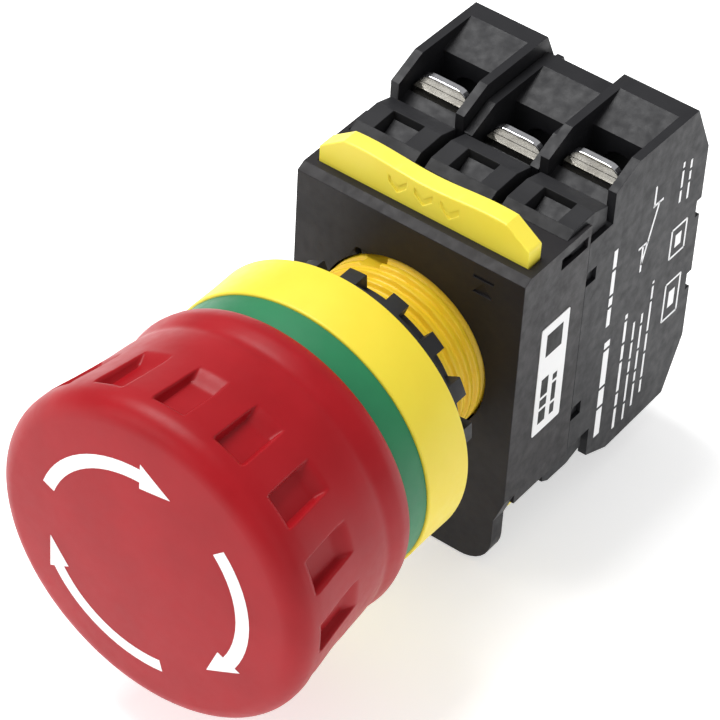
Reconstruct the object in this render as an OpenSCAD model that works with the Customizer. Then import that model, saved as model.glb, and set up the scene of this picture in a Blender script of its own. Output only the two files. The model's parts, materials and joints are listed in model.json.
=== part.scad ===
// Emergency stop push button, twist to release, for a 22 mm round panel hole.
// X runs right, Y from the head to the contact blocks, Z up, all in millimetres.
// The seat on the panel lies on Y = 0, and the button's axis is X = 0, Z = 0.

/* [Head] */
// Widest diameter of the mushroom head
head_d = 40; // [39:0.5:42]
// Distance the head travels when it is pressed
push_travel = 3.9; // [3:0.1:3.9]
// Number of finger pockets around the head
pocket_count = 16; // [12:1:18]
// Depth of one finger pocket
pocket_depth = 0.9; // [0.4:0.1:1.1]

/* [Operator] */
// Diameter of the yellow bezel
bezel_d = 35; // [34.6:0.2:36]
// Diameter over the barrel's thread
barrel_d = 21.8; // [21.4:0.1:21.8]
// Pitch of the barrel's thread
thread_pitch = 1.5; // [1.25:0.25:2]
// Number of teeth on the lock nut
nut_teeth = 16; // [12:1:20]

/* [Adapter and contact blocks] */
// Width of the adapter
adapter_w = 30; // [29.8:0.1:30.4]
// Height of the release tab above the adapter
tab_h = 4.4; // [3.5:0.1:5]
// Distance between neighbouring contact blocks
block_pitch = 10.05; // [10:0.01:10.1]
// Length of a contact block along the button's axis
block_len = 23.35; // [23:0.05:24]

/* [Hidden] */
$fn = 96;
// Clearance between parts that slide or turn on each other
run_gap = 0.05;

// ---- places along Y, from the head to the contact blocks ----
head_r = head_d / 2;
face_y = -32.9;
face_sag = 0.8;
edge_r = 2.7;
rim_y = -11;
face_in_y = -29.6;
skirt_in_r = 17.35;
skirt_in_y = -16.6;
cavity_r = 16.2;

bezel_r = bezel_d / 2;
bezel_len = 7;
green_r = 17.2;
barrel_r = barrel_d / 2;
barrel_end_y = 17;
flange_r = 15;
flange_y = [-8, -5];

nut_y = [1, 4.6];
nut_r = 14.7;

plate_y = [11.8, 13.9];
latch_y = [13.95, 16.25];
adapter_end_y = 24.1;
adapter_z = [-16.8, 17];
tower_y = [20.3, 27.9];

rod_r = 4;
collar_y = [-17, -15.6];
bush_r = 6.95;
transfer_y = [18.2, 20.2];

// ---- contact block, heights measured from its own centre line ----
block_z = -0.9;
block_w = 9.9;
block_y = 24.15;
block_end_y = block_y + block_len;
block_names = ["left", "centre", "right"];
wall = 1.1;
chamber_y = [30.5, 35.4];
chamber_h = 9.7;
cavity_h = 9;
clamp_y = [31.55, 32.5];
head_y = [32.52, 34.2];
screw_r = 1.6;
ramp_y = [36.8, 42];
hood_drop = 2;

// ---- helpers ----
// Turns an outline of [radius, y] points around the button's axis.
module turned(points) {
  rotate([-90, 0, 0]) rotate_extrude() polygon(points);
}

// A plain tube around the button's axis.
module tube(r_out, r_in, y0, y1) {
  turned([[r_in, y0], [r_out, y0], [r_out, y1], [r_in, y1]]);
}

// A solid rod along Y.
module rod(r, y0, y1) {
  translate([0, y0, 0]) rotate([-90, 0, 0]) cylinder(r = r, h = y1 - y0);
}

// A box given by its two corners.
module box(low, high) {
  translate(low) cube(high - low);
}

// Extrudes a drawing made in Y and Z along X.
module prism_x(x0, x1) {
  translate([x0, 0, 0]) rotate([90, 0, 90]) linear_extrude(x1 - x0) children();
}

// Extrudes a drawing made in X and Z along Y.
module prism_y(y0, y1) {
  translate([0, y1, 0]) rotate([90, 0, 0]) linear_extrude(y1 - y0) children();
}

// Repeats its children around the button's axis.
module around(count) {
  for (i = [0 : count - 1]) rotate([0, i * 360 / count, 0]) children();
}

// Keeps its children and adds their image below the block's centre line.
module both_ends() {
  children();
  translate([0, 0, 2 * block_z]) mirror([0, 0, 1]) children();
}

// Keeps its children and adds their image across X = 0.
module both_sides() {
  children();
  mirror([1, 0, 0]) children();
}

function arc(cx, cy, r, from, to, steps) =
  [for (i = [0 : steps]) let (a = from + (to - from) * i / steps)
    [cx + r * cos(a), cy + r * sin(a)]];

// A coil spring along Y made of a round wire with six sides.
module coil(r, wire, y0, y1, turns) {
  sides = 6;
  steps = 16 * turns;
  rise = (y1 - y0 - wire) / steps;
  points = [for (i = [0 : steps], j = [0 : sides - 1])
    let (t = 360 / 16 * i, s = 360 / sides * j, q = r + wire / 2 * cos(s))
    [q * cos(t), y0 + wire / 2 + i * rise + wire / 2 * sin(s), q * sin(t)]];
  skin = [for (i = [0 : steps - 1], j = [0 : sides - 1]) let (k = (j + 1) % sides)
    [i * sides + j, i * sides + k, (i + 1) * sides + k, (i + 1) * sides + j]];
  start_cap = [for (j = [0 : sides - 1]) sides - 1 - j];
  end_cap = [for (j = [0 : sides - 1]) steps * sides + j];
  polyhedron(points = points, faces = concat([start_cap], skin, [end_cap]), convexity = 8);
}

// ---- head ----
function face_at(r) = face_y + face_sag * pow(r / (head_r - edge_r), 2);

// Outline of the front face, from the axis to the start of the rounded edge.
function face_points(lift) =
  [for (i = [0 : 8]) let (r = (head_r - edge_r) * i / 8) [r, face_at(r) - lift]];

// Outline of the side, from the rounded edge over the waist to the rim.
function side_points() = concat(
  arc(head_r - edge_r, face_at(head_r - edge_r) + edge_r, edge_r, -82, 2, 8),
  [[head_r - 0.05, -28], [head_r - 0.6, -24.6], [head_r - 1.15, -20.5],
   [head_r - 1.4, -17.6]],
  arc(head_r + 0.66, -15.2, 2.4, 205, 155, 6),
  [[head_r - 1.45, -13], [head_r - 1.55, -12.3]],
  arc(head_r - 2.3, -11.8, 0.8, 0, 90, 4)
);

// Side view of one finger pocket: [y, radius] with a rounded rear end.
module pocket() {
  floor_r = head_r - 0.35 - pocket_depth;
  prism_x(-2, 2) polygon(concat(
    [[-28.4, head_r + 1], [-28.4, floor_r - 0.1]],
    [[-24, floor_r - 0.55], [-22.4, floor_r - 0.6]],
    arc(-22.4, floor_r + 0.9, 1.5, -90, 0, 6),
    [[-20.9, head_r + 1]]
  ));
}

module mushroom_cap() {
  color("crimson") difference() {
    turned(concat([[0, face_y]], face_points(0), side_points(),
      [[skirt_in_r, rim_y], [skirt_in_r, skirt_in_y], [cavity_r, skirt_in_y],
       [cavity_r, face_in_y], [0, face_in_y]]));
    around(pocket_count) pocket();
    arrow_prisms();
  }
}

// One curved arrow, drawn as seen from the front, starting at angle "tail".
module arrow_drawing(tail) {
  sweep = 70;
  stroke = [12.2, 13.8];
  barb = [11.4, 14.5];
  neck = tail - sweep;
  polygon(concat(
    arc(0, 0, stroke[1], tail, neck, 14),
    [[barb[1] * cos(neck), barb[1] * sin(neck)]],
    [[12.5 * cos(neck - 18), 12.5 * sin(neck - 18)]],
    [[barb[0] * cos(neck), barb[0] * sin(neck)]],
    arc(0, 0, stroke[0], neck, tail, 14)
  ));
}

// The arrows as prisms that reach 0.4 mm below the face.
module arrow_prisms() {
  intersection() {
    prism_y(face_y - 1, face_y + 2) for (tail = [41.5, 161.5, 281.5]) arrow_drawing(tail);
    turned(concat(face_points(0.5), [for (i = [8 : -1 : 0]) face_points(-0.4)[i]]));
  }
}

module arrow_marks() {
  color("white") intersection() {
    arrow_prisms();
    turned(concat(face_points(0.04), [for (i = [8 : -1 : 0]) face_points(-0.4)[i]]));
  }
}

module cap_hub() {
  color("dimgray") turned([
    [rod_r + run_gap, -17.1], [7.5, -17.1], [7.5, -27.6], [13, -27.6],
    [13, face_in_y], [6.2, face_in_y], [6.2, -26.9], [rod_r + run_gap, -26.9]
  ]);
}

module twist_spring() {
  color("silver") coil(9.4, 1.1, -27.3, -17.2, 6);
}

module hub_clip() {
  color("silver") difference() {
    tube(5.6, 3.25, -27.95, -27.15);
    box([-2.4, -28.5, 0], [2.4, -26.5, 6]);
  }
}

// ---- plunger and its guides ----
module plunger_rod() {
  square_w = 5.6;
  color("gainsboro") union() {
    turned([
      [0, -28.9], [rod_r - 0.4, -28.9], [rod_r, -28.5], [rod_r, -28], [3.2, -28],
      [3.2, -27.1], [rod_r, -27.1], [rod_r, collar_y[0]], [11, collar_y[0]],
      [11, collar_y[1]], [rod_r, collar_y[1]], [rod_r, 9], [0, 9]
    ]);
    box([-square_w / 2, 8.9, -square_w / 2], [square_w / 2, 18.1, square_w / 2]);
  }
}

module main_spring() {
  color("silver") coil(8.6, 1, -15.5, -8.1, 3);
}

module shaft_seal() {
  color("black") turned([
    [rod_r + 0.06, -7.9], [5.2, -7.9], [5.2, -7.2], [6.75, -7.2], [6.75, -6.05],
    [rod_r + 0.7, -6.05], [rod_r + 0.7, -6.6], [rod_r + 0.06, -7.2]
  ]);
}

module bearing_bush() {
  color("ivory") difference() {
    tube(bush_r, rod_r + 0.06, -2.9, 8);
    tube(5.2, 3, 2, 3.2);
  }
}

module detent_ring() {
  color("silver") rotate([-90, 0, 0]) translate([0, 0, 2.6]) rotate_extrude()
    translate([4.6, 0]) circle(r = 0.5, $fn = 24);
}

module barrel_end_cap() {
  color("ivory") difference() {
    tube(bush_r, 0, 14.8, barrel_end_y);
    box([-2.9, 14, -2.9], [2.9, 18, 2.9]);
  }
}

// ---- operator ----
module green_ring() {
  color("seagreen") turned([
    [15.2, -12.2], [green_r - 0.3, -12.2], [green_r, -11.9], [green_r, -bezel_len],
    [16.6, -bezel_len], [16.6, -5.1], [15.2, -5.1]
  ]);
}

module yellow_bezel() {
  color("gold") difference() {
    turned([
      [barrel_r + 0.1, -5], [16.65, -5], [16.65, -bezel_len], [bezel_r - 0.15, -bezel_len],
      [bezel_r, -bezel_len + 0.15], [bezel_r, -0.15], [bezel_r - 0.15, 0],
      [barrel_r + 0.1, 0]
    ]);
    tube(15.6, 12.6, -1, 1);
  }
}

module panel_gasket() {
  color("black") tube(15.55, 12.65, -1, -0.02);
}

// Outline of the barrel's thread, as ridges from y0 to y1.
function thread_points(y0, y1) =
  [for (i = [0 : floor((y1 - y0) / thread_pitch) - 1], k = [0 : 3])
    [barrel_r - [0.65, 0.65, 0, 0][k], y0 + thread_pitch * (i + [0, 0.2, 0.5, 0.7][k])]];

module operator_barrel() {
  thread_y = [0.3, 12.3];
  color("orange") difference() {
    union() {
      turned(concat(
        [[rod_r + 0.15, -6], [6.8, -6], [6.8, flange_y[0]], [flange_r, flange_y[0]],
         [flange_r, flange_y[1]], [barrel_r, flange_y[1]], [barrel_r, thread_y[0] - 0.3]],
        thread_points(thread_y[0], thread_y[1]),
        [[barrel_r, thread_y[1] + 0.5], [barrel_r, 13.9], [9.8, 13.9], [9.8, 16.3],
         [barrel_r, 16.3], [barrel_r - 0.4, barrel_end_y], [bush_r + 0.05, barrel_end_y],
         [bush_r + 0.05, -3], [rod_r + 0.15, -3]]
      ));
      box([-1.5, 0.02, 10.2], [1.5, 0.75, 12.1]);
    }
    box([-5.4, 10.3, 9.4], [-2.6, 12.5, 12]);
  }
}

module thrust_washer() {
  color("black") difference() {
    tube(13.4, barrel_r + 0.15, 0.1, 0.9);
    box([-1.7, -1, 9], [1.7, 2, 12.4]);
  }
}

module lock_nut() {
  tooth = 9;
  gap = 360 / nut_teeth - tooth;
  color("black") difference() {
    tube(nut_r, barrel_r + 0.1, nut_y[0], nut_y[1]);
    tube(12.4, barrel_r - 1, nut_y[0] - 1, nut_y[0] + 0.4);
    around(nut_teeth) prism_y(nut_y[0] + 1.5, nut_y[1] + 1)
      polygon(concat(arc(0, 0, 12.9, 0, gap, 2), arc(0, 0, 18, gap, 0, 2)));
  }
}

// ---- adapter ----
// Outline of the front plate with its tapered corners and rounded lower lug.
module plate_drawing() {
  half = adapter_w / 2;
  lug = 13.8;
  low_z = -26.2;
  polygon(concat(
    [[half, 16.4], [half, -15.4], [lug, -18.8]],
    arc(lug - 4, low_z + 4, 4, 0, -90, 8),
    arc(-lug + 4, low_z + 4, 4, -90, -180, 8),
    [[-lug, -18.8], [-half, -15.4], [-half, 16.4]]
  ));
}

// A triangle over a bar, marking which way is up.
module up_mark() {
  prism_y(plate_y[0] - 1, plate_y[0] + 0.25) translate([9.8, 12.4]) {
    polygon([[-1.3, 0], [1.3, 0], [0, 1.7]]);
    translate([-1.3, 2]) square([2.6, 0.4]);
  }
}

module adapter_housing() {
  half = adapter_w / 2;
  color("#222222") difference() {
    union() {
      prism_y(plate_y[0], plate_y[1]) plate_drawing();
      prism_x(-half, half) polygon([
        [plate_y[0] + 0.1, 0], [plate_y[0], 16.4], [plate_y[0] + 1.1, adapter_z[1]],
        [adapter_end_y, adapter_z[1]], [adapter_end_y, adapter_z[0]],
        [plate_y[1] - 0.1, adapter_z[0]], [plate_y[1] - 0.1, 0]
      ]);
    }
    box([-half + 1.6, plate_y[1], -15.2], [half - 1.6, adapter_end_y + 1, 15.4]);
    box([-half + 1.6, 20.2, -20], [half - 1.6, adapter_end_y + 1, 20]);
    box([-half + 0.5, 20.2, 13.8], [half - 0.5, adapter_end_y + 1, 20]);
    box([-half + 0.5, 20.2, -20], [half - 0.5, adapter_end_y + 1, -15.6]);
    box([-13.9, plate_y[1], 12.4], [13.9, latch_y[1] + 0.05, 18]);
    both_sides() box([10.9, plate_y[1], -18], [13.4, latch_y[1] + 0.05, -15]);
    rod(barrel_r + 0.25, plate_y[0] - 1, plate_y[1] + 1);
    rotate([0, -124, 0]) translate([11.5, 0, 0]) rod(0.5, plate_y[0] - 1, plate_y[1] + 1);
    both_sides() box([half - 0.8, 18.7, 14.2], [half + 1, 23.6, 15.7]);
    up_mark();
  }
}

// One tower that holds a contact block's hook in its window.
module tower() {
  difference() {
    prism_x(-4.4, 4.4) polygon([
      [tower_y[0], 14.6], [tower_y[0], 16.9], [tower_y[0] + 1.2, 17.6],
      [25.2, 17.7], [tower_y[1], 16.9], [tower_y[1], 14.45], [21.5, 14.45]
    ]);
    box([-2.1, 21.6, 14], [2.1, 25.3, 20]);
  }
}

module adapter_base() {
  half = adapter_w / 2 - 1.65;
  color("#2b2b2b") difference() {
    union() {
      box([-half, 21.5, -15.9], [half, adapter_end_y, 14.1]);
      for (i = [-1 : 1]) translate([i * block_pitch, 0, 0]) both_ends() {
        tower();
        box([-4.4, 21.5, 13.9], [-2.1, adapter_end_y, 14.7]);
        box([2.1, 21.5, 13.9], [4.4, adapter_end_y, 14.7]);
      }
    }
    box([-12.7, 21, -6.6], [12.7, 25, 5]);
  }
}

// Front view of the release tab above the adapter: a wave between two humps.
module tab_drawing() {
  top = adapter_z[1] + tab_h;
  half = 13.75;
  polygon(concat(
    [[-half, 15], [-half, top - 2.3]],
    [for (i = [0 : 24]) let (x = -10.6 + 21.2 * i / 24)
      [x, top - 0.25 - 0.25 * cos(360 * x / 17)]],
    [[half, top - 2.3], [half, 15]]
  ));
}

module release_latch() {
  hole_r = barrel_r + 0.25;
  color("gold") difference() {
    union() {
      prism_y(latch_y[0], latch_y[1]) tab_drawing();
      box([-13.2, latch_y[0], -12.9], [13.2, latch_y[1], 15.1]);
      both_sides() {
        box([11, latch_y[0], -18], [13.2, latch_y[1], -12.8]);
        box([12.2, latch_y[0], -18], [14.1, 17.2, -17]);
      }
    }
    translate([0, 0, 1.1]) rod(hole_r, 13, 17);
    translate([0, 0, 2.3]) rod(hole_r, 13, 17);
    box([-hole_r, 13, 1.1], [hole_r, 17, 2.3]);
    both_sides() box([6.7, 13, -14], [9.3, 17, -9.2]);
    for (i = [-1 : 1]) translate([i * 3.4, 0, 18]) chevron();
  }
}

// A chevron that points down, sunk into the front of the release tab.
module chevron() {
  prism_y(latch_y[0] - 1, latch_y[0] + 0.22)
    polygon([[-1.2, 2], [0, 0.9], [1.2, 2], [1.2, 1.1], [0, 0], [-1.2, 1.1]]);
}

module latch_springs() {
  color("silver") both_sides() translate([8, 15.1, 0]) rotate([90, 0, 0])
    coil(0.8, 0.4, -15.1, -9.3, 6);
}

module rating_label() {
  color("white") box([adapter_w / 2, 16.05, -8.4], [adapter_w / 2 + 0.12, 21.3, 7.4]);
}

module transfer_plate() {
  color("ivory") union() {
    box([-12.4, transfer_y[0], -4.4], [12.4, transfer_y[1], 2.6]);
    both_sides() box([11, transfer_y[0], -6.2], [12.4, transfer_y[1], 4.6]);
  }
}

// ---- contact blocks ----
// Upper half of a block's side view, above its centre line.
function half_profile(drop) = [
  [block_y, 0], [block_y, 15.2], [28.45, 15.2], [28.45, 19.4 - drop],
  [32.7, 21.25 - drop], [44.3, 21 - drop], [block_end_y, 14.1], [block_end_y, 0]
];

// Upper end of the space that is cut out for the wire and its clamp.
function entry_profile(drop) = [
  [28.1, 30], [28.1, 16.2 - drop], [chamber_y[0], 17.4 - drop],
  [chamber_y[0], chamber_h], [ramp_y[0], chamber_h],
  [ramp_y[0], 19.2 - drop], [ramp_y[1], 21.1 - drop], [ramp_y[1], 30]
];

// Height of the clamp screw above the block's centre line.
function screw_h(drop) = 14.8 - drop;

module housing_half(drop) {
  half = block_w / 2;
  difference() {
    union() {
      prism_x(-half, half) polygon(half_profile(drop));
      if (drop == 0) hook();
    }
    prism_x(-half + wall, half - wall) polygon(entry_profile(drop));
    box([-half + wall, 26.3, -1], [half - wall, 46, cavity_h]);
    box([-2.1, chamber_y[0], cavity_h - 1], [2.1, clamp_y[0], chamber_h + 1]);
    translate([0, 0, screw_h(drop)]) {
      rod(2.2, ramp_y[0] - 1, block_end_y + 1);
      rod(1.9, 29.45, chamber_y[0] + 1);
    }
    box([-2.7, block_y - 1, -1], [2.7, 27, 2.15]);
    box([-half - 1, block_end_y - 0.9, 4.2], [half + 1, block_end_y + 1, 6.6]);
    both_sides() box([half - 0.5, block_y - 1, 9], [half + 1, 26, 10.9]);
  }
}

// The catch that snaps into the adapter's tower.
module hook() {
  prism_x(-1.9, 1.9) polygon([
    [21.9, 15.5], [21.9, 16.1], [25.1, 17.6], [25.1, 15.1], [block_y, 15.1],
    [block_y, 15.5]
  ]);
}

// A lower housing keeps only a thin ridge along one side.
module centre_ridge() {
  half = block_w / 2;
  prism_x(-half, -half + 0.9) polygon([
    [28.45, 15], [28.45, 16.6], [29.8, 18], [46.4, 17.5], [block_end_y, 14.1], [44, 13]
  ]);
}

module block_housing(drop) {
  color("#1c1c1c") translate([0, 0, block_z]) union() {
    housing_half(drop);
    mirror([0, 0, 1]) housing_half(drop);
  }
}

module slider() {
  color("ivory") translate([0, 0, block_z]) difference() {
    union() {
      box([-2.6, 20.3, -2], [2.6, 35.5, 2]);
      rod(1.2, 35.4, 37);
    }
    box([-2.05, 32.28, -3], [2.05, 33.2, 3]);
  }
}

module bridge() {
  color("goldenrod") translate([0, 0, block_z]) box([-2, 32.34, -8.2], [2, 33.1, 8.2]);
}

module contact_spring() {
  color("silver") translate([0, 0, block_z]) coil(1.75, 0.45, 35.55, 45.95, 6);
}

module terminals(drop) {
  top = 18.4 - drop;
  color("khaki") both_ends() translate([0, 0, block_z]) {
    difference() {
      union() {
        box([-3.3, chamber_y[0], chamber_h + 0.2], [3.3, 31.5, top]);
        box([-2, chamber_y[0], 5.4], [2, 31.5, chamber_h + 0.3]);
      }
      translate([0, 0, screw_h(drop)]) rod(screw_r + 0.06, 30, 32);
    }
    translate([0, 0, 6.8]) rod(1.3, 31.4, 32.3);
  }
}

module clamp(drop) {
  low = chamber_h + 0.3;
  top = 19.6 - drop;
  corner = 1.8;
  color("silver") translate([0, 0, block_z]) difference() {
    prism_y(clamp_y[0], clamp_y[1]) polygon(concat(
      [[-3.4, low], [3.4, low]],
      arc(3.4 - corner, top - corner, corner, 0, 90, 6),
      arc(-3.4 + corner, top - corner, corner, 90, 180, 6)
    ));
    translate([0, 0, screw_h(drop)]) rod(screw_r + 0.06, 31, 33);
  }
}

module screw(drop) {
  color("silver") translate([0, 0, block_z + screw_h(drop)]) difference() {
    turned([
      [0, 29.6], [screw_r - 0.4, 29.6], [screw_r, 30], [screw_r, head_y[0]],
      [2.8, head_y[0]], [2.8, head_y[1] - 0.4], [2.4, head_y[1]], [0, head_y[1]]
    ]);
    box([-2, head_y[1] - 0.9, -0.35], [2, head_y[1] + 1, 0.35]);
    box([-0.35, head_y[1] - 0.9, -2], [0.35, head_y[1] + 1, 2]);
  }
}

module lower_end() {
  translate([0, 0, 2 * block_z]) mirror([0, 0, 1]) children();
}

module centre_housing() {
  union() {
    block_housing(hood_drop);
    color("#1c1c1c") both_ends() translate([0, 0, block_z]) {
      centre_ridge();
      hook();
    }
  }
}

// ---- what is drawn ----
mushroom_cap();
arrow_marks();
cap_hub();
twist_spring();
hub_clip();
plunger_rod();
main_spring();
shaft_seal();
bearing_bush();
detent_ring();
barrel_end_cap();
green_ring();
yellow_bezel();
panel_gasket();
operator_barrel();
thrust_washer();
lock_nut();
adapter_housing();
adapter_base();
release_latch();
latch_springs();
rating_label();
transfer_plate();

for (i = [0 : 2]) {
  name = block_names[i];
  drop = i == 1 ? hood_drop : 0;
  translate([(i - 1) * block_pitch, 0, 0]) {
    union() {
      if (i == 1) centre_housing();
      else block_housing(drop);
    }
    slider();
    bridge();
    contact_spring();
    terminals(drop);
    clamp(drop);
    lower_end() clamp(drop);
    screw(drop);
    lower_end() screw(drop);
  }
}
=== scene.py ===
"""Emergency stop button: looks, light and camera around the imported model.

Blender works in metres. Outlines are written in millimetres and turned into metres by
MM; values that already hold MM, come from the frame or describe a material, the camera
or a light are metres. The button's axis is Y, with the head at the low end.
"""
import json
import math

import bmesh
import bpy
from mathutils import Matrix, Vector


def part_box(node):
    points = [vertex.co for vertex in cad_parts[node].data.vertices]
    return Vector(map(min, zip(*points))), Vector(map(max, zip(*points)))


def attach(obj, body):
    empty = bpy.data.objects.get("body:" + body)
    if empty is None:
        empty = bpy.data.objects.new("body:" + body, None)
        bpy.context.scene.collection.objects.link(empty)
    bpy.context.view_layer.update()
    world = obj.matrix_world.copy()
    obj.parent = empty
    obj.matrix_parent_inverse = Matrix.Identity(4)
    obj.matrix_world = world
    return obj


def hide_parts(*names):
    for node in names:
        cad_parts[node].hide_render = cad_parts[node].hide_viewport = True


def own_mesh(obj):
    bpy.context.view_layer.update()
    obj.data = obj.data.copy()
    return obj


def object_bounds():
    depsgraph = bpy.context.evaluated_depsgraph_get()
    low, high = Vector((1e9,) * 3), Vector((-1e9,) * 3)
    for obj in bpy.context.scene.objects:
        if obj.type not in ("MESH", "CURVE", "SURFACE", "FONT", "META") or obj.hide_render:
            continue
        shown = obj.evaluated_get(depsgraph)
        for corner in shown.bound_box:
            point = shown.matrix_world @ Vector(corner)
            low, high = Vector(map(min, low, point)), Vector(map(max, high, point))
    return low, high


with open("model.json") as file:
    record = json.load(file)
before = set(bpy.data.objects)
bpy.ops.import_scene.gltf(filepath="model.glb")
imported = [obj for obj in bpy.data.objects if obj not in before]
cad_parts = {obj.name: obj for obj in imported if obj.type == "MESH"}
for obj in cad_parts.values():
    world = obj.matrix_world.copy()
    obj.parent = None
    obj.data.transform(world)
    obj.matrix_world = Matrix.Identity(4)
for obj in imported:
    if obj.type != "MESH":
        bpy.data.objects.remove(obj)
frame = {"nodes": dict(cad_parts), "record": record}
CAD_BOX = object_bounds()
MM = 0.001

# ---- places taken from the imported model, in metres ----
HEAD_LOW, HEAD_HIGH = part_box("mushroom_cap")
HEAD_R = (HEAD_HIGH.x - HEAD_LOW.x) / 2
FACE_Y = HEAD_LOW.y
RIM_Y = HEAD_HIGH.y
BEZEL_LOW, BEZEL_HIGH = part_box("yellow_bezel")
BEZEL_R = BEZEL_HIGH.x
GREEN_LOW, GREEN_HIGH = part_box("green_ring")
GREEN_R = GREEN_HIGH.x
BARREL_LOW, BARREL_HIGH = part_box("operator_barrel")
FLANGE_STEP = 4.1 * MM
BARREL_R = BARREL_HIGH.x - FLANGE_STEP
NUT_LOW, NUT_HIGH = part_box("lock_nut")
LABEL_LOW, LABEL_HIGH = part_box("rating_label")
BLOCK_SIDE_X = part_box("right_block_housing")[1].x


# ---- materials ----
class Nodes:
    """A material's node tree, with short ways to add and join nodes."""

    def __init__(self, name):
        self.material = bpy.data.materials.new(name)
        self.material.use_nodes = True
        self.tree = self.material.node_tree
        self.shader = self.tree.nodes["Principled BSDF"]
        self.place = self.add("ShaderNodeTexCoord").outputs["Object"]

    def add(self, kind, **values):
        """Adds a node; each value sets a property or, failing that, an input."""
        node = self.tree.nodes.new(kind)
        for key, value in values.items():
            if hasattr(node, key):
                setattr(node, key, value)
            else:
                node.inputs[key.replace("_", " ").title()].default_value = value
        return node

    def join(self, out, into):
        self.tree.links.new(out, into)

    def noise(self, size, detail):
        """Noise whose features are about size metres across."""
        node = self.add("ShaderNodeTexNoise", scale=1 / size, detail=detail)
        self.join(self.place, node.inputs["Vector"])
        return node.outputs["Fac"]

    def spread(self, value, low, high):
        """Maps the middle of a noise's values, 0.3 to 0.7, to low to high."""
        node = self.add("ShaderNodeMapRange")
        node.inputs["From Min"].default_value = 0.3
        node.inputs["From Max"].default_value = 0.7
        node.inputs["To Min"].default_value = low
        node.inputs["To Max"].default_value = high
        self.join(value, node.inputs["Value"])
        return node.outputs["Result"]

    def mix(self, value, first, second):
        """Mixes two plain colours by a value."""
        node = self.add("ShaderNodeMix", data_type="RGBA")
        self.join(value, node.inputs["Factor"])
        colours = [s for s in node.inputs if s.type == "RGBA"]
        for socket, colour in zip(colours, (first, second)):
            socket.default_value = (*colour, 1)
        return [s for s in node.outputs if s.type == "RGBA"][0]

    def bump(self, layers):
        """Adds bumps: a list of (height value, depth in metres)."""
        normal = None
        for height, depth in layers:
            node = self.add("ShaderNodeBump", distance=depth)
            node.inputs["Strength"].default_value = 1.0
            self.join(height, node.inputs["Height"])
            if normal:
                self.join(normal, node.inputs["Normal"])
            normal = node.outputs["Normal"]
        self.join(normal, self.shader.inputs["Normal"])


CLOUD_SIZE, SCUFF_SIZE, FLOW_SIZE = 0.006, 0.0012, 0.004
FLOW_DEPTH = 6  # depth of the slow waves, as a multiple of the grain's depth
SKIN_RADIUS = (1.0, 0.35, 0.2)
SKIN_SCALE = 0.0012


def moulded(name, colour, deep, rough=(0.35, 0.5), grain=0.00012, depth=0.000004,
            shine=0.5, glow=0.0):
    """Moulded plastic: mottled colour, fine grain, slow waves and scuffs."""
    n = Nodes(name)
    cloud = n.spread(n.noise(CLOUD_SIZE, 4), 0, 1)
    n.join(n.mix(cloud, colour, deep), n.shader.inputs["Base Color"])
    n.join(n.spread(n.noise(SCUFF_SIZE, 5), *rough), n.shader.inputs["Roughness"])
    n.bump([(n.noise(FLOW_SIZE, 2), depth * FLOW_DEPTH), (n.noise(grain, 2), depth)])
    n.shader.inputs["Specular IOR Level"].default_value = shine
    if glow:
        n.shader.inputs["Subsurface Weight"].default_value = glow
        n.shader.inputs["Subsurface Radius"].default_value = SKIN_RADIUS
        n.shader.inputs["Subsurface Scale"].default_value = SKIN_SCALE
    return n.material


PATCH_SIZE, POLISH_SIZE, DENT_SIZE = 0.0015, 0.0004, 0.0008
DENT_DEPTH = 0.000002
METAL_ROUGH = (0.16, 0.28)


def metal(name, colour, deep):
    """Plated metal with dull patches and shallow dents."""
    n = Nodes(name)
    patches = n.spread(n.noise(PATCH_SIZE, 4), 0, 1)
    n.join(n.mix(patches, colour, deep), n.shader.inputs["Base Color"])
    n.join(n.spread(n.noise(POLISH_SIZE, 4), *METAL_ROUGH), n.shader.inputs["Roughness"])
    n.shader.inputs["Metallic"].default_value = 1.0
    n.bump([(n.noise(DENT_SIZE, 2), DENT_DEPTH)])
    return n.material


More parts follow.
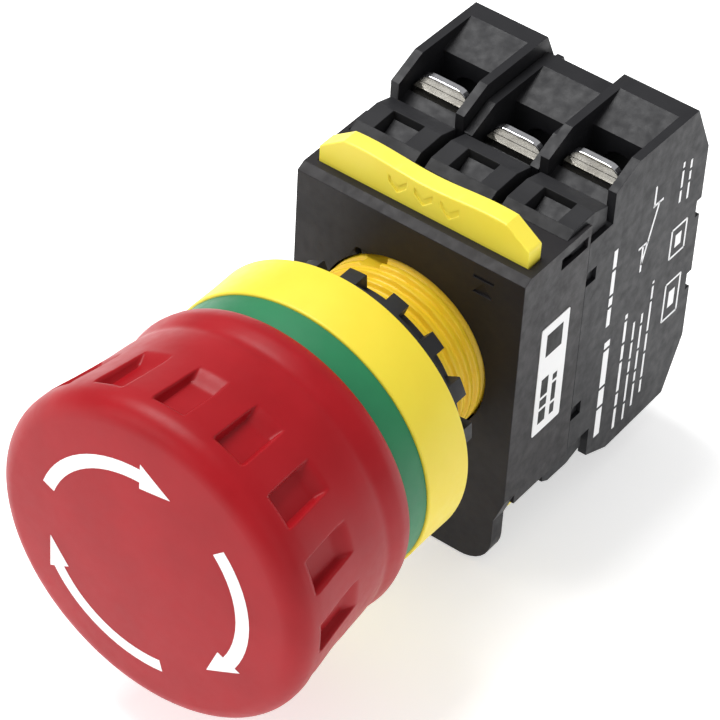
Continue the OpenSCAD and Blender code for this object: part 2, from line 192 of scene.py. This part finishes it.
# slot: colour, second colour, and what differs from a plain moulding
PLASTICS = {
    "red_cap": ((0.345, 0.006, 0.011), (0.30, 0.004, 0.008),
                dict(rough=(0.36, 0.44), shine=0.2, glow=0.1)),
    "white_print": ((0.93, 0.93, 0.93), (0.88, 0.88, 0.89), dict(rough=(0.4, 0.55))),
    "grey_plastic": ((0.07, 0.07, 0.075), (0.05, 0.05, 0.05), {}),
    "natural_nylon": ((0.78, 0.74, 0.62), (0.7, 0.66, 0.55), {}),
    "seal_rubber": ((0.012, 0.012, 0.012), (0.02, 0.02, 0.02), dict(rough=(0.6, 0.8))),
    "green_plastic": ((0.016, 0.19, 0.075), (0.014, 0.16, 0.065),
                      dict(rough=(0.4, 0.5), shine=0.35)),
    "yellow_bezel": ((0.82, 0.66, 0.045), (0.79, 0.62, 0.035),
                     dict(rough=(0.36, 0.46), shine=0.4, glow=0.1)),
    "orange_barrel": ((0.80, 0.54, 0.02), (0.76, 0.49, 0.015),
                      dict(shine=0.4, glow=0.1)),
    "nut_plastic": ((0.014, 0.014, 0.016), (0.022, 0.022, 0.024),
                    dict(rough=(0.4, 0.6), grain=0.0002, depth=0.000008, shine=0.28)),
    "adapter_plastic": ((0.013, 0.012, 0.014), (0.02, 0.018, 0.019),
                        dict(rough=(0.38, 0.55), grain=0.00018, depth=0.000007, shine=0.2)),
    "base_plastic": ((0.016, 0.016, 0.018), (0.026, 0.026, 0.028),
                     dict(rough=(0.42, 0.6), grain=0.00018, depth=0.000008, shine=0.2)),
    "block_plastic": ((0.012, 0.012, 0.014), (0.018, 0.018, 0.02),
                      dict(rough=(0.38, 0.55), grain=0.00018, depth=0.000008, shine=0.2)),
    "yellow_latch": ((0.94, 0.80, 0.09), (0.91, 0.76, 0.07),
                     dict(rough=(0.36, 0.48), shine=0.4, glow=0.1)),
    "label_paper": ((0.85, 0.85, 0.85), (0.8, 0.8, 0.8), dict(rough=(0.3, 0.4))),
}
METALS = {
    "spring_steel": ((0.6, 0.6, 0.62), (0.45, 0.45, 0.47)),
    "contact_brass": ((0.8, 0.6, 0.28), (0.65, 0.47, 0.2)),
    "plated_terminal": ((0.5, 0.48, 0.42), (0.4, 0.38, 0.32)),
    "plated_steel": ((0.62, 0.62, 0.64), (0.5, 0.5, 0.53)),
}


def make_materials():
    """One material for each slot in the record, given to the CAD nodes as well."""
    made = {name: moulded(name, *row[:2], **row[2]) for name, row in PLASTICS.items()}
    made.update({name: metal(name, *row) for name, row in METALS.items()})
    slots = {s["node"]: s["material_slot"] for s in frame["record"]["subparts"]}
    for node, piece in frame["nodes"].items():
        for slot in piece.material_slots:
            slot.material = made[slots[node]]
    return made


# ---- mesh helpers ----
def add_piece(name, bm, slot, body, *replaced):
    """Turns a bmesh into an object that rides a body and may stand for CAD nodes."""
    mesh = bpy.data.meshes.new(name)
    bmesh.ops.recalc_face_normals(bm, faces=bm.faces)
    bm.to_mesh(mesh)
    bm.free()
    piece = bpy.data.objects.new(name, mesh)
    bpy.context.scene.collection.objects.link(piece)
    mesh.materials.append(MATERIALS[slot])
    for face in mesh.polygons:
        face.use_smooth = True
    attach(piece, body)
    if replaced:
        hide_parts(*replaced)
    return piece


def sharpen(piece, angle):
    """Keeps edges sharper than the angle crisp under smooth shading."""
    piece.data.set_sharp_from_angle(angle=math.radians(angle))


SOFT_ANGLE = math.radians(35)
WELD_GAP = 0.000002


def soften(piece, width):
    """Rounds a CAD piece's edges for looks, without touching its mesh."""
    weld = piece.modifiers.new("weld", "WELD")
    weld.merge_threshold = WELD_GAP
    bevel = piece.modifiers.new("bevel", "BEVEL")
    bevel.width = width
    bevel.segments = 2
    bevel.limit_method = "ANGLE"
    bevel.angle_limit = SOFT_ANGLE
    bevel.use_clamp_overlap = True
    bevel.harden_normals = False
    normals = piece.modifiers.new("normals", "WEIGHTED_NORMAL")
    normals.keep_sharp = True


def revolve(bm, angles, outline, radius_at=None):
    """Skins a closed outline of (radius, y) points round the button's axis."""
    rings = []
    for angle in angles:
        ring = []
        for radius, y in outline:
            r = radius_at(angle, radius, y) if radius_at else radius
            ring.append(bm.verts.new((r * math.sin(angle), y, r * math.cos(angle))))
        rings.append(ring)
    count = len(outline)
    for i, ring in enumerate(rings):
        following = rings[(i + 1) % len(rings)]
        for j in range(count):
            k = (j + 1) % count
            bm.faces.new((ring[j], ring[k], following[k], following[j]))


def even_angles(count):
    """Angles spread evenly over one turn."""
    return [2 * math.pi * i / count for i in range(count)]


def arc(cx, cy, r, start, end, steps):
    """Points along an arc, angles in degrees."""
    points = []
    for i in range(steps + 1):
        a = math.radians(start + (end - start) * i / steps)
        points.append((cx + r * math.cos(a), cy + r * math.sin(a)))
    return points


MATERIALS = make_materials()


# ---- camera, light and floor ----
def look_at_angles(azimuth, elevation, roll):
    """Camera axes: right, up and back, for angles in degrees."""
    a, e, t = (math.radians(v) for v in (azimuth, elevation, roll))
    back = Vector((math.sin(a) * math.cos(e), -math.cos(a) * math.cos(e), math.sin(e)))
    right = Vector((math.cos(a), math.sin(a), 0))
    up = back.cross(right)
    turned_right = right * math.cos(t) + up * math.sin(t)
    turned_up = up * math.cos(t) - right * math.sin(t)
    return turned_right, turned_up, back


VIEW_ANGLES = (34.71, 42.69, 3.45)
VIEW_TARGET = Vector((0.2, 3.8, 3.2)) * MM
VIEW_DISTANCE = 0.3913
LENS, SENSOR = 183.2, 36


def make_camera():
    """Long lens from the front right, above, turned a little about its own axis."""
    right, up, back = look_at_angles(*VIEW_ANGLES)
    camera = bpy.data.objects.new("camera", bpy.data.cameras.new("camera"))
    camera.data.lens = LENS
    camera.data.sensor_width = SENSOR
    turn = Matrix((right, up, back)).transposed().to_4x4()
    camera.matrix_world = Matrix.Translation(VIEW_TARGET + back * VIEW_DISTANCE) @ turn
    camera.data.clip_start = 0.01
    camera.data.clip_end = 20
    bpy.context.scene.collection.objects.link(camera)
    bpy.context.scene.camera = camera


def area_light(name, place, size, power):
    """A square soft box that points at the button."""
    light = bpy.data.lights.new(name, "AREA")
    light.size = size
    light.energy = power
    lamp = bpy.data.objects.new(name, light)
    lamp.location = place
    lamp.rotation_euler = (-Vector(place)).to_track_quat("-Z", "Y").to_euler()
    bpy.context.scene.collection.objects.link(lamp)


ROOM_STRENGTH = 0.5
FLOOR_HALF, FLOOR_GAP, FLOOR_GLOW = 3, 0.0003, 0.5


def make_light():
    """Soft boxes on three sides under a bright white room."""
    area_light("key", (-0.34, 0.02, 0.78), 0.45, 7)
    area_light("front", (-0.45, -0.7, 0.4), 0.5, 2.2)
    area_light("fill", (0.75, -0.3, 0.3), 0.5, 0.45)
    world = bpy.data.worlds.new("room")
    world.use_nodes = True
    background = world.node_tree.nodes["Background"]
    background.inputs["Color"].default_value = (1, 1, 1, 1)
    background.inputs["Strength"].default_value = ROOM_STRENGTH
    bpy.context.scene.world = world
    bpy.context.scene.view_settings.view_transform = "Standard"
    bpy.context.scene.view_settings.look = "None"


def make_floor():
    """A plain pale floor below the object."""
    bm = bmesh.new()
    bmesh.ops.create_grid(bm, x_segments=2, y_segments=2, size=FLOOR_HALF)
    mesh = bpy.data.meshes.new("floor")
    bm.to_mesh(mesh)
    bm.free()
    floor = bpy.data.objects.new("floor", mesh)
    floor.location.z = CAD_BOX[0][2] - FLOOR_GAP
    bpy.context.scene.collection.objects.link(floor)
    n = Nodes("floor")
    tone = n.spread(n.noise(0.3, 2), 0, 1)
    n.join(n.mix(tone, (0.93, 0.93, 0.93), (0.91, 0.91, 0.92)), n.shader.inputs["Base Color"])
    n.shader.inputs["Roughness"].default_value = 0.8
    n.shader.inputs["Emission Color"].default_value = (1, 1, 1, 1)
    n.shader.inputs["Emission Strength"].default_value = FLOOR_GLOW
    mesh.materials.append(n.material)


# ---- head ----
EDGE_R = 2.7
FACE_SAG = 0.8
FACE_STEPS = 24
CAVITY_R, SKIRT_R = 16.2, 17.35
CAVITY_Y, SKIRT_Y = -29.6, -16.6
LIP_R = 0.45
# (y, depth under the head's radius) down the side, over the waist to the rim
SIDE = ((-29.0, 0.0), (-28.0, 0.06), (-24.6, 0.6), (-20.5, 1.15), (-17.6, 1.4),
        (-16.3, 1.55), (-15.2, 1.72), (-14.2, 1.55), (-13.0, 1.42), (-12.3, 1.52),
        (-11.6, 1.72))
SIDE_STEPS = 66


def head_face(r):
    """Place along Y of the domed face at a radius."""
    return FACE_Y / MM + FACE_SAG * (r / (HEAD_R / MM - EDGE_R)) ** 2


def head_outline():
    """Closed outline of the head: face, edge, side, skirt and hollow."""
    top, rim = HEAD_R / MM, RIM_Y / MM
    edge = top - EDGE_R
    radii = [edge * i / FACE_STEPS for i in range(1, FACE_STEPS)]
    points = [(r, head_face(r)) for r in radii]
    points += arc(edge, head_face(edge) + EDGE_R, EDGE_R, -84, 2, 14)
    points += smooth_run([(y, top - depth) for y, depth in SIDE], SIDE_STEPS)
    points += arc(top - 2.3, rim - LIP_R, LIP_R, 25, 90, 5)
    points += [(top - 2.6, rim), (SKIRT_R, rim - 0.12), (SKIRT_R, SKIRT_Y),
               (CAVITY_R, SKIRT_Y), (CAVITY_R, CAVITY_Y), (8.0, CAVITY_Y), (1.0, CAVITY_Y)]
    return [(r * MM, y * MM) for r, y in points]


def smooth_run(side, count):
    """A smooth curve through (y, radius) points, returned as (radius, y)."""
    ys = [p[0] for p in side]
    last = len(side) - 1
    out = []
    for i in range(count + 1):
        y = ys[0] + (ys[-1] - ys[0]) * i / count
        k = max(j for j in range(last) if ys[j] <= y + 1e-9)
        before, start, end, after = (side[min(max(k + d, 0), last)] for d in (-1, 0, 1, 2))
        span = end[0] - start[0]
        t = (y - start[0]) / span
        slope_in = (end[1] - before[1]) / (end[0] - before[0]) * span
        slope_out = (after[1] - start[1]) / (after[0] - start[0]) * span
        r = ((2 * t**3 - 3 * t**2 + 1) * start[1] + (t**3 - 2 * t**2 + t) * slope_in
             + (3 * t**2 - 2 * t**3) * end[1] + (t**3 - t**2) * slope_out)
        out.append((r, y))
    return out


POCKETS = 16
POCKET_HALF = math.radians(6.0)
POCKET_FRONT = -28.4 * MM
POCKET_REAR = -20.9 * MM
POCKET_ZONE = (-30.5 * MM, -18 * MM)
POCKET_DEPTH, POCKET_SLOPE, POCKET_EXTRA = 1.25 * MM, 0.095, 0.10 * MM


def step(value, low, high):
    """A smooth step from 0 at low to 1 at high."""
    t = min(max((value - low) / (high - low), 0), 1)
    return t * t * (3 - 2 * t)


def head_radius(angle, radius, y):
    """Radius of the head with its finger pockets pressed in."""
    if radius <= SKIRT_R * MM or not POCKET_ZONE[0] <= y <= POCKET_ZONE[1]:
        return radius
    pitch = 2 * math.pi / POCKETS
    off = (angle + pitch / 2) % pitch - pitch / 2
    floor = HEAD_R - POCKET_DEPTH - POCKET_SLOPE * (y - POCKET_FRONT)
    floor = floor / math.cos(off) - POCKET_EXTRA
    if floor >= radius:
        return radius
    sides = step(POCKET_HALF - abs(off), 0, math.radians(0.9))
    front = step(y - POCKET_FRONT, -0.15 * MM, 0.2 * MM)
    rear = 1 - step(y, POCKET_REAR - 2.4 * MM, POCKET_REAR)
    return radius + (floor - radius) * sides * front * rear


def head_angles():
    """Angles round the head, closer together at the pockets' side walls."""
    offsets = (-11.25, -9, -7.2, -6.5, -6.1, -5.85, -5.6, -5.35, -5, -4, -2.5,
               -1, 1, 2.5, 4, 5, 5.35, 5.6, 5.85, 6.1, 6.5, 7.2, 9)
    pitch = 360 / POCKETS
    return [math.radians(i * pitch + o) for i in range(POCKETS) for o in offsets]


def make_head():
    """The mushroom head as one turned shell with its pockets pressed in."""
    bm = bmesh.new()
    revolve(bm, head_angles(), head_outline(), head_radius)
    piece = add_piece("head_shell", bm, "red_cap", "cap", "mushroom_cap")
    close_ends(piece)
    sharpen(piece, 50)


def close_ends(piece):
    """Closes the two small holes that a revolved outline leaves on the axis."""
    bm = bmesh.new()
    bm.from_mesh(piece.data)
    for face in [f for f in bm.faces if all(v.co.xz.length < 1.2 * MM for v in f.verts)]:
        bm.faces.remove(face)
    edges = [e for e in bm.edges if e.is_boundary]
    bmesh.ops.holes_fill(bm, edges=edges, sides=0)
    bmesh.ops.recalc_face_normals(bm, faces=bm.faces)
    bm.to_mesh(piece.data)
    bm.free()
    for face in piece.data.polygons:
        face.use_smooth = True


# ---- operator ----
RING_STEPS = 192
BARREL_STEPS = 288


def ring_piece(name, node, slot, body, outline):
    """A finely turned ring that stands for a CAD node."""
    bm = bmesh.new()
    revolve(bm, even_angles(RING_STEPS), [(r * MM, y * MM) for r, y in outline])
    sharpen(add_piece(name, bm, slot, body, node), 50)


def make_rings():
    """The yellow bezel and the green ring with softly rounded edges."""
    bore = BARREL_R / MM + 0.1
    top, low, high = BEZEL_R / MM, BEZEL_LOW.y / MM, BEZEL_HIGH.y / MM
    ring_piece("bezel_ring", "yellow_bezel", "yellow_bezel", "root", [
        (bore, -5), (16.65, -5), (16.65, low + 0.1), (16.75, low),
        *arc(top - 0.25, low + 0.25, 0.25, -90, 0, 5), (top - 0.05, -3.6),
        *arc(top - 0.25, high - 0.25, 0.25, 0, 90, 5), (15.6, high), (15.6, -1),
        (12.6, -1), (12.6, high), (bore, high)])
    top, low, high = GREEN_R / MM, GREEN_LOW.y / MM, GREEN_HIGH.y / MM
    ring_piece("green_band", "green_ring", "green_plastic", "root", [
        (15.2, low), *arc(top - 0.3, low + 0.3, 0.3, -90, 0, 5), (top, -7.05),
        (16.6, -7.03), (16.6, high), (15.2, high)])


THREAD_PITCH = 1.5
THREAD_DEPTH = 0.5
THREAD_LOW, THREAD_HIGH = 0.3, 12.3
NOTCH_X, NOTCH_Y, NOTCH_R = (-5.4, -2.6), 10.3, 9.4


def thread_radius(angle, radius, y):
    """Radius over the barrel's helical thread, with the sight notch cut in."""
    y_mm, top = y / MM, BARREL_R
    if abs(radius - top) > 0.3 * MM or not THREAD_LOW <= y_mm <= THREAD_HIGH + 0.5:
        return radius
    phase = ((y_mm - THREAD_LOW) / THREAD_PITCH - angle / (2 * math.pi)) % 1
    crest = min(abs(phase - 0.5) * 2, 1)
    cut = THREAD_DEPTH * (1 - step(crest, 0.25, 0.75))
    cut *= step(y_mm, THREAD_LOW, THREAD_LOW + 0.4) * (1 - step(y_mm, 11.6, THREAD_HIGH))
    x = math.sin(angle) * top / MM
    if NOTCH_X[0] < x < NOTCH_X[1] and math.cos(angle) > 0 and y_mm > NOTCH_Y:
        return NOTCH_R * MM / math.cos(angle)
    return radius - cut * MM


def make_barrel():
    """The threaded barrel as one turned shell with a true helical thread."""
    top, end = BARREL_R / MM, BARREL_HIGH.y / MM
    bm = bmesh.new()
    threaded = [(top, THREAD_LOW + 0.1 * i) for i in range(121)]
    outline = [(4.15, -6), (6.8, -6), (6.8, -8), (14.85, BARREL_LOW.y / MM), (15, -7.9),
               (15, -5), (top, -5), *threaded, (top, 12.8), (top, 13.9), (9.8, 13.9),
               (9.8, 16.3), (top, 16.3), (top - 0.4, end), (7.0, end), (7.0, -3), (4.15, -3)]
    outline = [(r * MM, y * MM) for r, y in outline]
    revolve(bm, even_angles(BARREL_STEPS), outline, thread_radius)
    piece = add_piece("barrel_thread", bm, "orange_barrel", "root", "operator_barrel")
    sharpen(piece, 45)


def make_barrel_key():
    """The key behind the bezel that keeps the barrel from turning in the panel."""
    key = bmesh.new()
    matrix = Matrix.Translation((0, 0.275 * MM, 11.15 * MM))
    bmesh.ops.create_cube(key, size=1, matrix=matrix @ Matrix.Diagonal(
        (3 * MM, 0.95 * MM, 1.9 * MM, 1)))
    bmesh.ops.bevel(key, geom=key.edges[:], offset=0.1 * MM, segments=2, affect="EDGES")
    add_piece("barrel_key", key, "orange_barrel", "root")


NUT_TEETH = 16
TOOTH_DEG = 9.0
WALL_DEG = 0.35
SLOT_FLOOR_R, SLOT_Y = 12.9, 2.5


def nut_angles():
    """Angles round the nut with close pairs at each tooth's walls."""
    pitch, gap = 360 / NUT_TEETH, 360 / NUT_TEETH - TOOTH_DEG
    offsets = [gap * i / 6 for i in range(7)] + [gap + WALL_DEG]
    offsets += [gap + TOOTH_DEG * i / 4 for i in (1, 2, 3)] + [pitch - WALL_DEG]
    return [math.radians(i * pitch + o) for i in range(NUT_TEETH) for o in offsets]


def nut_radius(angle, radius, y):
    """Slots between the nut's teeth go down to the slot floor."""
    gap = 360 / NUT_TEETH - TOOTH_DEG
    local = (math.degrees(angle) + 1e-6) % (360 / NUT_TEETH)
    if y > (SLOT_Y + 0.02) * MM and radius > SLOT_FLOOR_R * MM and local < gap + 0.2:
        return SLOT_FLOOR_R * MM
    return radius


def make_nut():
    """The castellated lock nut, with rounded tooth tips."""
    low, high = NUT_LOW.y / MM, NUT_HIGH.y / MM
    outer, bore = NUT_HIGH.x / MM, 11.0
    outline = [(bore, low + 0.4), (12.4, low + 0.4), (12.4, low),
               *arc(outer - 0.2, low + 0.2, 0.2, -90, 0, 4), (outer, SLOT_Y),
               (outer, SLOT_Y + 0.03), *arc(outer - 0.25, high - 0.25, 0.25, 0, 90, 4),
               (SLOT_FLOOR_R, high), (bore + 0.3, high), (bore, high - 0.3)]
    bm = bmesh.new()
    revolve(bm, nut_angles(), [(r * MM, y * MM) for r, y in outline], nut_radius)
    bmesh.ops.remove_doubles(bm, verts=bm.verts, dist=1e-6)
    piece = add_piece("nut_ring", bm, "nut_plastic", "nut", "lock_nut")
    piece.data.transform(Matrix.Rotation(math.pi / 2, 4, "Y"))
    sharpen(piece, 30)


# ---- prints ----
DASH_GAP = 0.45
PRINT_DEPTH, FILM_DEPTH = 0.02 * MM, 0.08 * MM
# rows of print on the side: y, first z, last z, height, lengths of the dashes
SIDE_ROWS = (
    (29.7, -18.5, -4.0, 1.1, (4.2, 2.6, 5.4)), (29.5, -1.5, 9.8, 0.7, (2.6, 1.2, 3.4)),
    (33.6, -20.0, -2.5, 0.5, (3.1, 1.8, 4.4, 2.2)), (35.6, -20.0, -5.0, 0.36, (2.4, 4.1, 1.6)),
    (37.2, -19.0, -4.5, 0.36, (3.4, 1.4, 2.8)), (38.8, -18.0, -1.0, 0.36, (1.9, 3.6, 2.6, 4.4)),
    (42.3, 8.2, 14.0, 0.36, (1.7, 2.4)), (43.9, 7.8, 13.4, 0.36, (2.3, 1.2)))
# lines of a normally closed contact, as pairs of (y, z) points
CONTACT_LINES = (((35.6, 2.6), (35.6, 6.4)), ((34.7, 6.4), (36.5, 6.4)),
                 ((35.6, 3.6), (38.0, 11.2)), ((36.8, 11.2), (38.8, 11.2)),
                 ((37.0, 11.2), (37.0, 14.0)))
# outlined marks: y, z, width, height
SQUARE_MARKS = ((41.8, 0.2, 3.0, 4.2), (42.0, -9.4, 3.0, 5.6))


def print_rect(bm, x, y, z, wide, tall):
    """A printed bar on the side face: wide along Y, tall along Z."""
    corners = [(y, z), (y + wide, z), (y + wide, z + tall), (y, z + tall)]
    bm.faces.new([bm.verts.new((x, a * MM, b * MM)) for a, b in corners])


def print_line(bm, x, start, end, width):
    """A printed line between two (y, z) points on the side face."""
    a, b = Vector(start), Vector(end)
    side = (b - a).orthogonal().normalized() * width / 2
    corners = [a + side, a - side, b - side, b + side]
    bm.faces.new([bm.verts.new((x, c.x * MM, c.y * MM)) for c in corners])


def thicken(bm, depth):
    """Gives flat printed marks a small thickness towards +X."""
    made = bmesh.ops.extrude_face_region(bm, geom=bm.faces[:])
    moved = [v for v in made["geom"] if isinstance(v, bmesh.types.BMVert)]
    bmesh.ops.translate(bm, verts=moved, vec=(depth, 0, 0))


def dashes(bm, x, y, z0, z1, height, pattern):
    """A row of dashes along Z that stands for a line of print."""
    z, i = z0, 0
    while z < z1:
        size = min(pattern[i % len(pattern)], z1 - z)
        print_rect(bm, x, y, z, height, size)
        z += size + DASH_GAP
        i += 1


def make_side_print():
    """Plain bars and a general contact symbol on the right block's side."""
    x = BLOCK_SIDE_X
    bm = bmesh.new()
    for row in SIDE_ROWS:
        dashes(bm, x, *row)
    for start, end in CONTACT_LINES:
        print_line(bm, x, start, end, 0.32)
    for y, z, w, h in SQUARE_MARKS:
        corners = [(y, z), (y + w, z), (y + w, z + h), (y, z + h)]
        for i in range(4):
            print_line(bm, x, corners[i], corners[(i + 1) % 4], 0.3)
        print_rect(bm, x, y + w * 0.3, z + h * 0.28, w * 0.4, h * 0.44)
    thicken(bm, PRINT_DEPTH)
    sharpen(add_piece("side_print", bm, "white_print", "root"), 20)


def make_label():
    """The white film label with rounded corners, a block mark and two bars."""
    low, high = LABEL_LOW / MM, LABEL_HIGH / MM
    r = 0.25
    corners = [(high.y - r, high.z - r, 0), (low.y + r, high.z - r, 90),
               (low.y + r, low.z + r, 180), (high.y - r, low.z + r, 270)]
    bm = bmesh.new()
    outline = [p for y, z, a in corners for p in arc(y, z, r, a, a + 90, 4)]
    bm.faces.new([bm.verts.new((LABEL_LOW.x, y * MM, z * MM)) for y, z in outline])
    thicken(bm, FILM_DEPTH)
    sharpen(add_piece("label_film", bm, "label_paper", "root", "rating_label"), 20)
    bm = bmesh.new()
    x = LABEL_LOW.x + FILM_DEPTH
    mid = (low.y + high.y) / 2
    print_rect(bm, x, mid - 1.5, high.z - 4.6, 3.0, 3.2)
    dashes(bm, x, low.y + 0.9, low.z + 1.4, low.z + 8.2, 1.3, (1.9, 1.2, 2.6))
    dashes(bm, x, low.y + 3.1, low.z + 1.4, low.z + 7.4, 0.8, (1.5, 2.7))
    thicken(bm, PRINT_DEPTH)
    sharpen(add_piece("label_print", bm, "seal_rubber", "root"), 20)


# ---- springs ----
WIRE_SIDES = 8
TURN_STEPS = 28


def coil_mesh(centre, axis, radius, wire, length, turns):
    """A round-wire coil that starts at a centre point and runs along an axis."""
    bm = bmesh.new()
    count = turns * TURN_STEPS
    turn = Vector((0, 0, 1)).rotation_difference(Vector(axis)).to_matrix()
    rings = []
    for i in range(count + 1):
        a = 2 * math.pi * i / TURN_STEPS
        out = Vector((math.cos(a), math.sin(a), 0))
        base = out * radius + Vector((0, 0, wire / 2 + (length - wire) * i / count))
        ring = []
        for j in range(WIRE_SIDES):
            b = 2 * math.pi * j / WIRE_SIDES
            point = base + out * wire / 2 * math.cos(b)
            point.z += wire / 2 * math.sin(b)
            ring.append(bm.verts.new((turn @ point + Vector(centre)) * MM))
        rings.append(ring)
    for low, high in zip(rings, rings[1:]):
        for j in range(WIRE_SIDES):
            k = (j + 1) % WIRE_SIDES
            bm.faces.new((low[j], low[k], high[k], high[j]))
    bm.faces.new(rings[0])
    bm.faces.new(rings[-1])
    return bm


def make_springs():
    """Round-wire coils that stand for the model's springs."""
    low, high = (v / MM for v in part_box("main_spring"))
    bm = coil_mesh((0, low.y, 0), (0, 1, 0), 8.6, 1, high.y - low.y, 3)
    piece = add_piece("main_coil", bm, "spring_steel", "root", "main_spring")
    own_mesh(piece)
    for side in ("left", "centre", "right"):
        low, high = (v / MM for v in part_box(side + "_spring"))
        middle = (low + high) / 2
        bm = coil_mesh((middle.x, low.y, middle.z), (0, 1, 0), 1.75, 0.45, high.y - low.y, 6)
        piece = add_piece(side + "_coil", bm, "spring_steel", "root", side + "_spring")
        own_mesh(piece)
    low, high = (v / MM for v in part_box("latch_springs"))
    for x, name in ((high.x - 1, "latch_coil_right"), (low.x + 1, "latch_coil_left")):
        place = (x, (low.y + high.y) / 2, low.z)
        bm = coil_mesh(place, (0, 0, 1), 0.8, 0.4, high.z - low.z, 6)
        piece = add_piece(name, bm, "spring_steel", "root", "latch_springs")
        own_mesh(piece)


# how far the edges of CAD pieces that stay in view are rounded
SOFT_NODES = {"adapter_housing": 0.25, "adapter_base": 0.18, "release_latch": 0.45,
              "thrust_washer": 0.1, "transfer_plate": 0.15}
SOFT_PARTS = {"block_housing": 0.16, "terminals": 0.06, "upper_clamp": 0.12,
              "upper_screw": 0.12, "lower_clamp": 0.12, "lower_screw": 0.12}


def soften_frame():
    """Rounds the edges of the CAD pieces that stay in view."""
    for node, width in SOFT_NODES.items():
        soften(frame["nodes"][node], width * MM)
    for side in ("left", "centre", "right"):
        for part, width in SOFT_PARTS.items():
            soften(frame["nodes"][f"{side}_{part}"], width * MM)


make_camera()
make_light()
make_floor()
make_head()
make_rings()
make_barrel()
make_barrel_key()
make_nut()
make_springs()
make_side_print()
make_label()
soften_frame()
